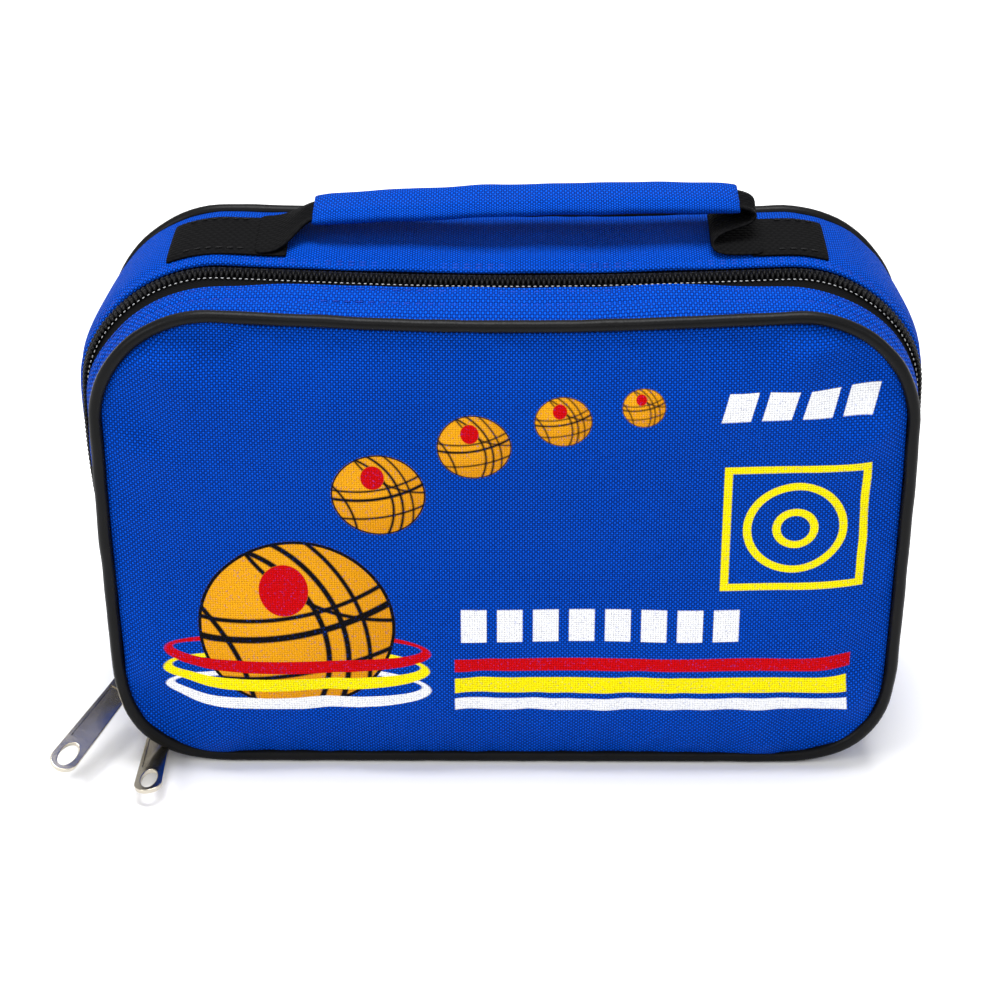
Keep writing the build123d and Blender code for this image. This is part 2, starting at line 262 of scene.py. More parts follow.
def offsetRun(tree, u, v, centre, size):
    across = calc(tree, "DIVIDE", calc(tree, "SUBTRACT", u, centre[0]), size[0])
    up = calc(tree, "DIVIDE", calc(tree, "SUBTRACT", v, centre[1]), size[1])
    return across, up


def radiusOf(tree, across, up):
    squares = calc(tree, "ADD", calc(tree, "MULTIPLY", across, across), calc(tree, "MULTIPLY", up, up))
    return calc(tree, "SQRT", squares)


def inside(tree, distance, limit, soft):
    # 1 where distance is under limit, fading over soft
    gap = calc(tree, "DIVIDE", calc(tree, "SUBTRACT", limit, distance), soft)
    node = tree.nodes.new("ShaderNodeClamp")
    tree.links.new(calc(tree, "ADD", gap, 0.5), node.inputs[0])
    return node.outputs[0]


def barMask(tree, u, v, low, high):
    centre = ((low[0] + high[0]) / 2, (low[1] + high[1]) / 2)
    half = ((high[0] - low[0]) / 2, (high[1] - low[1]) / 2)
    wide = inside(tree, between(tree, u, centre[0]), half[0], artwork["edge"])
    tall = inside(tree, between(tree, v, centre[1]), half[1], artwork["edge"])
    return calc(tree, "MULTIPLY", wide, tall)


def printedBall(tree, u, v, colour, centre, radius):
    # a gold ball with a red spot and two sets of curved grooves
    across, up = offsetRun(tree, u, v, centre, (radius, radius))
    soft = artwork["edge"] / radius
    reach = radiusOf(tree, across, up)
    mask = inside(tree, reach, 1.0, soft)
    lit = radiusOf(tree, calc(tree, "ADD", across, 0.35), calc(tree, "SUBTRACT", up, 0.35))
    body = blendColour(tree, inside(tree, lit, 1.0, 1.3), (0.62, 0.24, 0.004), artwork["gold"])
    red = inside(tree, radiusOf(tree, *offsetRun(tree, across, up, (-0.12, 0.42), (0.25, 0.30))), 1.0, soft * 4)
    body = blendColour(tree, red, body, artwork["red"])
    for spot, size, width in artwork["grooves"]:
        ring = radiusOf(tree, *offsetRun(tree, across, up, spot, (1.0, 1.0)))
        line = inside(tree, between(tree, ring, size), width, soft * 2)
        clear = calc(tree, "MULTIPLY", line, calc(tree, "SUBTRACT", 1.0, red))  # none cross the spot
        body = blendColour(tree, clear, body, artwork["dark"])
    rim = inside(tree, between(tree, reach, 0.985), 0.02, soft)
    body = blendColour(tree, rim, body, artwork["dark"])
    return blendColour(tree, mask, colour, body)


def ringMask(tree, u, v, centre, radii):
    across, up = offsetRun(tree, u, v, centre, radii)
    reach = radiusOf(tree, across, up)
    # a band of even width all round a flat ellipse
    outer = inside(tree, reach, 1.0, 0.02)
    width = artwork["ringWidth"]
    lifted = (centre[0], centre[1] + width * 0.5)
    hollow = offsetRun(tree, u, v, lifted, (radii[0] - 1.2 * width, radii[1] - 1.5 * width))
    inner = inside(tree, radiusOf(tree, *hollow), 1.0, 0.02)
    return calc(tree, "SUBTRACT", outer, inner)


def squareMask(tree, u, v, centre, half):
    low, high = (centre[0] - half, centre[1] - half), (centre[0] + half, centre[1] + half)
    return barMask(tree, u, v, low, high)


def makePrintedCloth():
    material, tree, shader = newCloth("printedCloth")
    u, v = surfaceRun(tree)
    colour, relief = clothColour(tree, u, v)
    plain = colour

    def paint(mask, ink):
        nonlocal colour
        colour = blendColour(tree, mask, colour, artwork[ink])

    bigCentre, bigRadius = artwork["bigBall"]
    masks = [(ringMask(tree, u, v, centre, radii), ink, centre) for centre, radii, ink in artwork["rings"]]
    for mask, ink, centre in masks:
        paint(mask, ink)
    colour = printedBall(tree, u, v, colour, bigCentre, bigRadius)
    for mask, ink, centre in masks:
        front = inside(tree, v, centre[1], artwork["edge"])
        paint(calc(tree, "MULTIPLY", mask, front), ink)
    for centre, radius in artwork["smallBalls"]:
        colour = printedBall(tree, u, v, colour, centre, radius)
    for low, high, ink in artwork["stripes"]:
        paint(barMask(tree, u, v, low, high), ink)
    wide, tall = artwork["dashHalf"]
    for x, z in artwork["dashes"]:
        shift = calc(tree, "MULTIPLY", calc(tree, "SUBTRACT", v, z), artwork["dashSlant"])
        slant = calc(tree, "SUBTRACT", u, shift)
        paint(barMask(tree, slant, v, (x - wide, z - tall), (x + wide, z + tall)), "white")
    blocks = artwork["blocks"]
    for index in range(blocks["count"]):
        x = blocks["start"] + (blocks["end"] - blocks["start"]) * index / (blocks["count"] - 1)
        low = (x - blocks["half"][0], blocks["level"] - blocks["half"][1])
        high = (x + blocks["half"][0], blocks["level"] + blocks["half"][1])
        paint(barMask(tree, u, v, low, high), "white")
    centre, half, width = artwork["frame"]
    outer = squareMask(tree, u, v, centre, half)
    inner = squareMask(tree, u, v, centre, half - width)
    paint(calc(tree, "SUBTRACT", outer, inner), "yellow")
    reach = radiusOf(tree, *offsetRun(tree, u, v, centre, (1.0, 1.0)))
    for size in artwork["targets"]:
        paint(inside(tree, between(tree, reach, size), width / 2, artwork["edge"]), "yellow")
    worn = addNoise(tree, 1500.0, 2.0)
    thin = calc(tree, "MULTIPLY", inside(tree, worn, 0.36, 0.12), 0.35)
    colour = blendColour(tree, thin, colour, plain)
    tree.links.new(colour, shader.inputs["Base Color"])
    addBump(tree, shader, relief, bagCloth["relief"])
    return material


def makeRibbed(name, colour, pitch, ribs, relief, roughness=0.62):
    # narrow woven goods: ribs counts the long cords across a metre
    material, tree, shader = newMaterial(name, roughness, Specular_IOR_Level=0.03)
    u, v = surfaceRun(tree)
    cords = humps(tree, v, math.pi * ribs)
    row = calc(tree, "FLOOR", calc(tree, "MULTIPLY", v, ribs))
    lean = calc(tree, "ADD", calc(tree, "DIVIDE", u, pitch), calc(tree, "MULTIPLY", row, 0.5))
    picks = humps(tree, lean, math.pi)
    fuzz = addNoise(tree, 1600.0, 3.0)
    weave = calc(tree, "MULTIPLY", cords, picks)
    height = calc(tree, "MULTIPLY_ADD", weave, 0.8, calc(tree, "MULTIPLY", fuzz, 0.4))
    # painted highlight: the tops of the cords and picks are painted up to 2.6 times lighter than the goods' own
    # colour, and fuzz adds random tone
    lifted = tuple(part * 2.6 for part in colour)
    setColour(tree, shader, calc(tree, "MULTIPLY", height, 0.8), colour, lifted)
    addBump(tree, shader, height, relief)
    return material


def makePlastic(name, colour, roughness, grain, relief):
    material, tree, shader = newMaterial(name, roughness, Specular_IOR_Level=0.10)
    speckle = addNoise(tree, grain, 4.0)
    blotch = addNoise(tree, 60.0, 2.0)
    lifted = tuple(part * 2.2 + 0.001 for part in colour)
    setColour(tree, shader, blotch, colour, lifted)
    rough = calc(tree, "MULTIPLY_ADD", speckle, 0.22, roughness - 0.1)
    tree.links.new(rough, shader.inputs["Roughness"])
    addBump(tree, shader, speckle, relief)
    return material


def makeMetal(name, roughness, light, dark, grains, relief, rough, byGrain=False):
    # grains gives the scale and detail of its fine scratches, then the scale of its smudges
    material, tree, shader = newMaterial(name, roughness, 1.0)
    scratch = addNoise(tree, grains[0], grains[1])
    smudge = addNoise(tree, grains[2], 3.0)
    setColour(tree, shader, smudge, light, dark)
    source = scratch if byGrain else smudge
    tree.links.new(calc(tree, "MULTIPLY_ADD", source, *rough), shader.inputs["Roughness"])
    addBump(tree, shader, scratch, relief)
    return material


def makeNickel(name, colour):
    worn = tuple(part * 0.82 for part in colour)
    return makeMetal(name, 0.22, colour, worn, (700.0, 4.0, 90.0), 0.00002, (0.22, 0.10))


def makeSteel():
    return makeMetal("turnedSteel", 0.32, (0.66, 0.67, 0.69), (0.48, 0.49, 0.51),
                     (480.0, 5.0, 30.0), 0.00004, (0.25, 0.18), byGrain=True)


def makeWood():
    material, tree, shader = newMaterial("turnedWood", 0.42, Coat_Weight=0.3, Coat_Roughness=0.2)
    wave = addPattern(tree, "ShaderNodeTexWave", Scale=95.0, Distortion=2.4, Detail=3.0)
    wave.wave_type = "RINGS"
    fibre = addNoise(tree, 420.0, 5.0)
    grain = calc(tree, "MULTIPLY_ADD", fibre, 0.4, calc(tree, "MULTIPLY", wave.outputs["Fac"], 0.6))
    setColour(tree, shader, grain, (0.64, 0.42, 0.20), (0.40, 0.22, 0.09))
    addBump(tree, shader, grain, 0.00006)
    return material


def makeFoam():
    material, tree, shader = newMaterial("foamPadding", 0.9)
    cells = addPattern(tree, "ShaderNodeTexVoronoi", Scale=1400.0)
    # painted shade: the sunken middles of the cells are painted darker grey than the cell walls
    setColour(tree, shader, cells.outputs["Distance"], (0.42, 0.42, 0.43), (0.62, 0.62, 0.63))
    addBump(tree, shader, cells.outputs["Distance"], 0.0002)
    return material


def makeThread(name, colour):
    material, tree, shader = newMaterial(name, 0.5, Specular_IOR_Level=0.2)
    twist = addPattern(tree, "ShaderNodeTexWave", Scale=900.0)
    twist.bands_direction = "DIAGONAL"
    # painted shade: the grooves of the twist, low in the bump, are painted down to 0.6 of the thread's colour
    setColour(tree, shader, twist.outputs["Fac"], tuple(part * 0.6 for part in colour), colour)
    addBump(tree, shader, twist.outputs["Fac"], 0.00008)
    return material


black = (0.0022, 0.0022, 0.0024)
finishes = {
    "cloth": makeBagCloth(),
    "printed": makePrintedCloth(),
    "webbing": makeRibbed("webbingBlack", black, 0.0022, 620.0, 0.0003),
    "tape": makeRibbed("zipTapeBlack", black, 0.0012, 1300.0, 0.00014),
    "lining": makeRibbed("liningBlack", (0.010, 0.010, 0.012), 0.0008, 1250.0, 0.00008, 0.7),
    "piping": makePlastic("pipingBlack", (0.0025, 0.0025, 0.0027), 0.38, 1900.0, 0.00004),
    "coil": makePlastic("coilBlack", (0.002, 0.002, 0.0023), 0.36, 2600.0, 0.00002),
    "pull": makeNickel("nickelPull", (0.60, 0.55, 0.46)),
    "slider": makeNickel("nickelSlider", (0.52, 0.49, 0.43)),
    "steel": makeSteel(),
    "wood": makeWood(),
    "foam": makeFoam(),
    "paleThread": makeThread("threadPale", (0.50, 0.51, 0.52)),
    "blueThread": makeThread("threadBlue", (0.001, 0.050, 0.46)),
    "blackThread": makeThread("threadBlack", (0.005, 0.005, 0.0055)),
}
print("materials made")


def legs():
    flat, rise = bag["half"] - bag["corner"], bag["height"] - 2 * bag["corner"]
    quarter = math.pi / 2 * bag["corner"]
    return [flat, quarter, rise, quarter, 2 * flat, quarter, rise, quarter, flat]


def placeOnOutline(distance):
    # from the middle of the base to the right and round: a point of the outline and the way outward there
    turn, spot = 0.0, Vector((0.0, 0.0))
    for index, leg in enumerate(legs()):
        step = min(distance, leg)
        heading = Vector((math.cos(turn), math.sin(turn)))
        leftward = Vector((-heading.y, heading.x))
        if index % 2:
            swept = step / bag["corner"]
            spot += (heading * math.sin(swept) + leftward * (1 - math.cos(swept))) * bag["corner"]
            turn += swept
        else:
            spot += heading * step
        distance -= step
        if distance <= 0:
            break
    return spot, Vector((math.sin(turn), -math.cos(turn)))


roundTrip = sum(legs())


def settle(point):
    # the filled cloth's own shape: the top droops, the ends swell round the zip, and the front's low
    # corners are squarer
    across = max(-1.0, min(1.0, point.x / bag["half"]))
    up = max(0.0, min(1.0, point.z / bag["height"]))
    forward = max(0.0, min(1.0, 0.5 - point.y / filling["depth"]))
    droop = filling["droop"] * (0.55 + 0.45 * forward) * (1 - across ** 2) ** 2 * up ** 3
    belly = math.exp(-(point.y / (filling["bellyRear"] if point.y > 0 else filling["bellyFront"])) ** 2)
    level = min(1.0, max(0.0, (point.z - filling["bellyFrom"]) / filling["bellyTall"]))
    full = math.sin(math.pi * level) ** 1.3
    swell = filling["swell"][1 if across > 0 else -1] * belly * full * across ** 4 * math.copysign(1.0, across)
    shift = Vector((swell, 0.0, -droop))
    overX, under = abs(point.x) - (bag["half"] - bag["corner"]), bag["corner"] - point.z
    if overX > 0 and under > 0:
        turn = math.atan2(under, overX)
        near = min(1.0, math.hypot(overX, under) / bag["corner"])
        ahead = max(0.0, min(1.0, (-point.y - filling["squareFrom"]) / filling["squareFade"]))
        push = filling["square"] * math.sin(2 * turn) ** 2 * near ** 2 * ahead
        shift += Vector((math.copysign(math.cos(turn), point.x), 0.0, -math.sin(turn))) * push
    return point + shift


def ripple(distance, depth, size, seed):
    return noise.noise(Vector((distance / size, depth / (size * 2.2), seed)))


def finishMesh(name, bm, material, body=None, flip=False):
    if flip:
        bmesh.ops.reverse_faces(bm, faces=bm.faces)
    mesh = bpy.data.meshes.new(name)
    bm.to_mesh(mesh)
    bm.free()
    piece = bpy.data.objects.new(name, mesh)
    bpy.context.scene.collection.objects.link(piece)
    mesh.materials.append(finishes[material])
    for face in mesh.polygons:
        face.use_smooth = True
    if body:
        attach(piece, body)
    return piece


def thicken(piece, thickness, offset=-1.0, levels=1):
    wall = piece.modifiers.new("wall", "SOLIDIFY")
    wall.thickness, wall.offset = thickness, offset
    if levels:
        soft = piece.modifiers.new("soften", "SUBSURF")
        soft.levels = soft.render_levels = levels


def runMesh(start, end, profile, pitch, shape, merge=False, spread=1.0):
    # a strip along the outline: profile gives (depth, outset) points across it, and shape moves each one;
    # spread is the real width where the depths are shares of it
    steps = max(2, round((end - start) / pitch))
    bm = bmesh.new()
    uvLayer = bm.loops.layers.uv.new("UVMap")
    bmesh.ops.create_grid(bm, x_segments=steps, y_segments=len(profile) - 1, size=0.5)
    widths = [0.0]
    for first, second in zip(profile, profile[1:]):
        widths.append(widths[-1] + math.hypot((second[0] - first[0]) * spread, second[1] - first[1]))
    for face in bm.faces:
        for loop in face.loops:
            row = round((loop.vert.co.y + 0.5) * (len(profile) - 1))
            loop[uvLayer].uv = (start + (loop.vert.co.x + 0.5) * (end - start), widths[row])
    for vert in bm.verts:
        distance = start + (vert.co.x + 0.5) * (end - start)
        depth, outset = profile[round((vert.co.y + 0.5) * (len(profile) - 1))]
        spot, outward = placeOnOutline(distance % roundTrip)
        vert.co = shape(distance, depth, outset, spot, outward)
    if merge:
        bmesh.ops.remove_doubles(bm, verts=bm.verts, dist=1e-6)
    return bm


def pointAt(spot, outward, depth, outset):
    place = spot + outward * outset
    return settle(Vector((place.x, depth, place.y)))


def zipDepth(z, offset):
    return bag["hingeY"] + bag["slope"] * z + offset


def smooth(value, low, high):
    share = max(0.0, min(1.0, (value - low) / (high - low)))
    return share * share * (3 - 2 * share)


def hemOffset(side, spot):
    # how far the blue hem stays from the zip's middle: the front one gapes round the upper corners
    if side > 0:
        return bag["hem"] - 0.0010 * smooth(spot.y, 0.040, 0.090)
    atCorner = smooth(abs(spot.x), 0.048, 0.100) * smooth(spot.y, 0.095, 0.135)
    onTop = smooth(spot.y, 0.130, 0.150) * (1 - smooth(abs(spot.x), 0.030, 0.080))
    return bag["hem"] + 0.0042 * atCorner - 0.0014 * onTop


band = {
    "pitch": 0.0030,
    "thick": 0.0010,
    "wrinkle": 0.0007,
    "gather": 0.0005,
    "foldBack": 0.0042,
    "stitchPitch": 0.0034,
}


def makeBand(side):
    seam, edge = bag["seam"][side], bag["hingeY"] + side * bag["hem"]
    reach = abs(seam - edge)
    inner = 1.0 - band["foldBack"] / reach
    # share of the way from the seam to the zip, and height above the flat cloth
    across = [
        (0.0, -0.0012), (0.05, -0.0003), (0.16, 0.0003), (0.33, 0.0005), (0.47, 0.0002), (0.50, -0.0006),
        (0.53, 0.0002), (0.70, 0.0004), (0.84, 0.0001), (0.87, -0.0005), (0.90, 0.0000), (0.97, 0.0000),
        (1.0, -0.0006), (0.995, -0.0013), (0.96, -0.0015), (inner, -0.0015),
    ]
    if side > 0:
        across = [
            (0.0, -0.0012), (0.02, -0.0003), (0.07, 0.0003), (0.15, 0.0005), (0.25, 0.0006), (0.37, 0.0006),
            (0.50, 0.0006), (0.62, 0.0006), (0.74, 0.0005), (0.84, 0.0003), (0.885, -0.0005), (0.91, 0.0002),
            (0.94, -0.0004), (0.96, 0.0001), (0.985, 0.0), (1.0, -0.0006), (0.996, -0.0013), (0.97, -0.0015),
            (inner, -0.0015),
        ]

    def shape(distance, share, outset, spot, outward):
        last = zipDepth(spot.y, side * hemOffset(side, spot))
        depth = seam + share * (last - seam)
        outer = 1.0 if outset > -0.0011 else 0.0  # the turned-in hem stays smooth
        grounded = min(1.0, spot.y / 0.02)  # and so does the base
        fold = ripple(distance, depth, 0.019, 3.0 * side) * band["wrinkle"]
        fold += ripple(distance, depth, 0.0065, 7.0 + side) * band["gather"] * math.exp(-share * reach / 0.005)
        return pointAt(spot, outward, depth, min(outset + outer * fold * grounded, 0.0012 * grounded))

    bm = runMesh(0.0, roundTrip, across, band["pitch"], shape, merge=True, spread=reach)
    piece = finishMesh(f"{sides[side]}Band", bm, "cloth", shells[side], flip=side < 0)
    thicken(piece, band["thick"])
    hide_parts(f"{sides[side]}_gusset")


for side in sides:
    makeBand(side)
print("bands made")


piping = {
    "radius": 0.0019,
    "proud": 0.0012,
    "sunk": 0.0006,  # the rear cord is pulled further into its seam
    "rounds": 10,
    "pitch": 0.0028,
    "offset": 0.0018,
}


def makePiping(side):
    seam = bag["seam"][side] + side * piping["offset"]
    turn = [2 * math.pi * step / piping["rounds"] for step in range(piping["rounds"] + 1)]
    across = [(math.cos(angle), math.sin(angle)) for angle in turn]

    def shape(distance, sideways, outwards, spot, outward):
        raised = 0.0012 * (1 - min(1.0, spot.y / bag["corner"]))
        swollen = piping["radius"] * (1.0 + 0.07 * ripple(distance, 0.0, 0.008, 11.0 + side))
        grounded = min(1.0, spot.y / 0.02)
        sunk = (piping["sunk"] if side > 0 else 0.0) * grounded
        centre = piping["proud"] - piping["radius"] - raised + 0.00008 - sunk
        wander = 0.0003 * ripple(distance, 0.0, 0.014, 17.0 + side) * grounded
        return pointAt(spot, outward, seam + sideways * swollen, centre + outwards * swollen + wander)

    bm = runMesh(0.0, roundTrip, across, piping["pitch"], shape, merge=True)
    bmesh.ops.recalc_face_normals(bm, faces=bm.faces)
    piece = finishMesh(f"{sides[side]}Piping", bm, "piping", shells[side])
    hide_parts(f"{sides[side]}_piping")


for side in sides:
    makePiping(side)
print("piping made")


cover = {
    "steps": (96, 64),
    "inset": 0.0022,
    "proud": 0.0016,  # its rim stands that far out from the band's seam
    "crown": 0.0050,
    "fall": 0.030,
    "slack": -0.012,
    "pressure": 1.4,
    "frames": 26,
    "cap": 0.0036,
    "thick": 0.0008,
    "sag": 0.0016,  # the filling settles low in the bag
    "mass": 0.25,
    "stretch": 28.0,
    "shear": 18.0,
    "bend": 0.35,
}


def roundOff(across, up, halfWide, halfTall, corner):
    # a point of a rectangle moved onto one with round corners
    x, z = across * halfWide, up * halfTall
    overX, overZ = abs(x) - (halfWide - corner), abs(z) - (halfTall - corner)
    if overX > 0 and overZ > 0:
        u, v = overX / corner, overZ / corner
        x = math.copysign(halfWide - corner + corner * u * math.sqrt(1 - v * v / 2), x)
        z = math.copysign(halfTall - corner + corner * v * math.sqrt(1 - u * u / 2), z)
    return x, z


def edgeGap(x, z, halfWide, halfTall, corner):
    # how far in from the rim a point is
    overX, overZ = abs(x) - (halfWide - corner), abs(z) - (halfTall - corner)
    if overX > 0 and overZ > 0:
        return corner - math.hypot(overX, overZ)
    return corner - max(overX, overZ)


def crownShare(gap):
    # a cover's height above its seam, as a share of its crown, that far in from the rim
    return 1 - (1 - min(1.0, gap / cover["fall"])) ** 2.6


def mapFlat(bm):
    uvLayer = bm.loops.layers.uv.new("UVMap")
    for face in bm.faces:
        for loop in face.loops:
            loop[uvLayer].uv = (loop.vert.co.x, loop.vert.co.z)


def makeCover(side):
    halfWide = bag["half"] - cover["inset"]
    halfTall = bag["height"] / 2 - cover["inset"]
    corner = bag["corner"] - cover["inset"]
    middle = bag["height"] / 2
    seam = bag["seam"][side] + side * cover["proud"]
    bm = bmesh.new()
    bmesh.ops.create_grid(bm, x_segments=cover["steps"][0], y_segments=cover["steps"][1], size=1.0)
    rim = []
    for vert in bm.verts:
        edge = max(abs(vert.co.x), abs(vert.co.y)) > 0.9999
        x, z = roundOff(vert.co.x, vert.co.y, halfWide, halfTall, corner)
        gap = max(0.0, edgeGap(x, z, halfWide, halfTall, corner))
        rise = crownShare(gap)
        vert.co = Vector((x, seam + side * cover["crown"] * rise, z + middle))
        if edge:
            rim.append(vert.index)
    mapFlat(bm)
    piece = finishMesh(f"{sides[side]}Cover", bm, "printed" if side < 0 else "cloth", flip=side > 0)
    start = [vert.co.copy() for vert in piece.data.vertices]
    puffCover(piece, side, start, rim)
    for vert in piece.data.vertices:
        low = max(0.0, 1 - vert.co.z / (0.5 * bag["height"]))
        gap = edgeGap(vert.co.x, vert.co.z - middle, halfWide, halfTall, corner)
        sag = cover["sag"] * low * min(1.0, max(0.0, gap) / 0.02)
        hold = min(1.0, rimGap(vert.co) / 0.003)
        vert.co.y += side * (sag + pucker(vert.co) * hold)
        vert.co = settle(vert.co)
    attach(piece, "lid" if side < 0 else "rear_shell")
    thicken(piece, cover["thick"])
    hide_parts(f"{sides[side]}_panel")


def rimGap(point):
    inset, middle = cover["inset"], bag["height"] / 2
    gap = edgeGap(point.x, point.z - middle, bag["half"] - inset, middle - inset, bag["corner"] - inset)
    return max(0.0, gap)


puckers = {
    "reach": 1.35,  # how far from a corner its folds begin, in corner radii
    "fold": 0.0023,
    "count": 7.0,
    "fine": 0.0008,
    "broad": 0.0016,
}


def pucker(point):
    # small folds that run in from the seam, deepest round the corners
    gap = rimGap(point)
    middle = bag["height"] / 2
    overX = abs(point.x) - (bag["half"] - puckers["reach"] * bag["corner"])
    overZ = abs(point.z - middle) - (middle - puckers["reach"] * bag["corner"])
    folds = 0.0
    if overX > 0 and overZ > 0:
        turn = math.atan2(overZ, overX)
        near = min(1.0, min(overX, overZ) / 0.010)
        swing = math.copysign(1.0, point.x) + 2.0 * math.copysign(1.0, point.z - middle)
        folds = puckers["fold"] * near * math.sin(puckers["count"] * turn + 2.1 * swing)
        folds *= math.exp(-((gap - 0.008) / 0.011) ** 2)
    along = point.x + point.z * 0.9
    fine = noise.noise(Vector((along / 0.012, gap / 0.03, 81.0))) * math.exp(-gap / 0.010)
    folds += puckers["fine"] * fine
    leaning = Vector(((point.x - 0.6 * point.z) / 0.040, (point.z + 0.4 * point.x) / 0.075, 83.0))
    return folds + puckers["broad"] * noise.noise(leaning) * smooth(gap, 0.006, 0.030)


def puffCover(piece, side, start, rim):
    # slack cloth held at its rim and blown out a little, so it gathers and puckers at the seam
    group = piece.vertex_groups.new(name="rim")
    group.add(rim, 1.0, "REPLACE")
    for vert in piece.data.vertices:
        vert.co.y += side * 0.0004 * noise.noise(vert.co * 140.0)
    cloth = piece.modifiers.new("puff", "CLOTH")
    cloth.settings.vertex_group_mass = "rim"
    cloth.settings.quality = 6
    cloth.settings.mass = cover["mass"]
    cloth.settings.tension_stiffness = cloth.settings.compression_stiffness = cover["stretch"]
    cloth.settings.shear_stiffness = cover["shear"]
    cloth.settings.bending_stiffness = cover["bend"]
    cloth.settings.shrink_min = cover["slack"]
    cloth.settings.use_pressure = True
    cloth.settings.uniform_pressure_force = cover["pressure"]
    cloth.settings.effector_weights.gravity = 0.0
    cloth.collision_settings.use_collision = False
    scene = bpy.context.scene
    for step in range(1, cover["frames"] + 1):
        scene.frame_set(step)
    graph = bpy.context.evaluated_depsgraph_get()
    puffed = [vert.co.copy() for vert in piece.evaluated_get(graph).data.vertices]
    piece.modifiers.remove(cloth)
    piece.vertex_groups.clear()
    for vert, before, after in zip(piece.data.vertices, start, puffed):
        move = after - before
        if move.length > cover["cap"]:
            move *= cover["cap"] / move.length
        move.y = side * max(side * move.y, -0.0003)  # the padding keeps it from sinking in
        vert.co = before + move * (0.35 + 0.65 * math.exp(-rimGap(before) / 0.022))
    scene.frame_set(1)


def innerSheet(side, margin, behind, bumpAt):
    # a sheet inside a cover: margin in from the outline, and behind the cover's own curve
    middle = bag["height"] / 2
    bm = bmesh.new()
    bmesh.ops.create_grid(bm, x_segments=60, y_segments=40, size=1.0)
    for vert in bm.verts:
        x, z = roundOff(vert.co.x, vert.co.y, bag["half"] - margin, middle - margin, bag["corner"] - margin)
        rise = crownShare(rimGap(Vector((x, 0.0, z + middle))))
        depth = cover["proud"] + cover["crown"] * rise - behind + bumpAt(x, z)
        vert.co = settle(Vector((x, bag["seam"][side] + side * depth, z + middle)))
    return bm


foamPad = {"margin": 0.0120, "behind": 0.0022, "thick": 0.0010, "dimple": 0.0002}


def makeFoamPad(side):
    # the padding that fills a cover out, a little inside its cloth
    def bumpAt(x, z):
        return foamPad["dimple"] * noise.noise(Vector((x * 120.0, z * 120.0, 71.0)))

    bm = innerSheet(side, foamPad["margin"], foamPad["behind"], bumpAt)
    piece = finishMesh(f"{sides[side]}FoamPad", bm, "foam", shells[side], flip=side > 0)
    thicken(piece, foamPad["thick"])
    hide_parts(f"{sides[side]}_foam")


for side in sides:
    makeCover(side)
    makeFoamPad(side)
print("covers made")


zipChain = {
    "tapeWidth": 0.0116,
    "tapeDepth": -0.0016,
    "tapeThick": 0.0006,
    "toothPitch": 0.00150,
    "tooth": (0.00058, 0.00185, 0.00100),  # half size along, across and outward
    "toothOut": -0.0008,
    "toothAside": 0.00115,  # from the zip's middle
    "stitchPitch": 0.0024,
    "dotPitch": 0.0017,
    "pitch": 0.0030,
    "stubTop": 0.044,
}


def stubStart():
    # how far round the zip the short stretch that stays on the sliders begins
    flat, quarter, rise = legs()[0], legs()[1], legs()[2]
    beyond = zipChain["stubTop"] - bag["corner"]
    return 3 * flat + 3 * quarter + rise + (rise - beyond)


def makeTape(name, side, start, end, body, node):
    across = [
        (0.0003, 0.0), (0.002, 0.0), (0.004, -0.0001), (0.0065, 0.0), (0.0085, 0.0),
        (zipChain["tapeWidth"], 0.0),
    ]

    def shape(distance, offset, outset, spot, outward):
        wave = 0.00015 * ripple(distance, offset, 0.012, 23.0 + side)
        return pointAt(spot, outward, zipDepth(spot.y, side * offset), zipChain["tapeDepth"] + outset + wave)

    bm = runMesh(start, end, across, zipChain["pitch"], shape)
    piece = finishMesh(name, bm, "tape", body, flip=side > 0)
    thicken(piece, zipChain["tapeThick"], levels=0)
    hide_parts(node)


def outlineFrame(distance, depthOffset, outset):
    # a place on the zip: columns run along it, across it to the rear, and outward
    spot, outward = placeOnOutline(distance % roundTrip)
    place = pointAt(spot, outward, zipDepth(spot.y, depthOffset), outset)
    out = Vector((outward.x, 0.0, outward.y))
    alongIt = Vector((-outward.y, 0.0, outward.x))
    across = out.cross(alongIt)
    turn = Matrix((alongIt, across, out)).transposed().to_4x4()
    return Matrix.Translation(place) @ turn


def beads(places, around, levels):
    # many small rounded shapes as one mesh, made a few dozen at a time
    batchSize = 36
    whole = bmesh.new()
    for first in range(0, len(places), batchSize):
        batch = bmesh.new()
        for place in places[first:first + batchSize]:
            bmesh.ops.create_uvsphere(batch, u_segments=around, v_segments=levels, radius=1.0, matrix=place)
        mesh = bpy.data.meshes.new("batch")
        batch.to_mesh(mesh)
        batch.free()
        whole.from_mesh(mesh)
        bpy.data.meshes.remove(mesh)
    return whole


def makeCoil(name, side, start, end, body, node):
    pitch = zipChain["toothPitch"]
    shift = 0.25 if side < 0 else 0.75  # the two rows take turns
    size = Matrix.Diagonal((*zipChain["tooth"], 1.0))
    places = []
    for index in range(int((end - start) / pitch)):
        distance = start + (index + shift) * pitch
        places.append(outlineFrame(distance, side * zipChain["toothAside"], zipChain["toothOut"]) @ size)
    piece = finishMesh(name, beads(places, 8, 5), "coil", body)
    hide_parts(node)


def makeStitches(name, material, body, start, end, pitch, size, spotOf):
    # short raised threads: size is half their length, width and height
    shape = Matrix.Diagonal((*size, 1.0))
    places = [spotOf(start + (index + 0.5) * pitch) @ shape for index in range(int((end - start) / pitch))]
    piece = finishMesh(name, beads(places, 6, 4), material, body)
    return piece


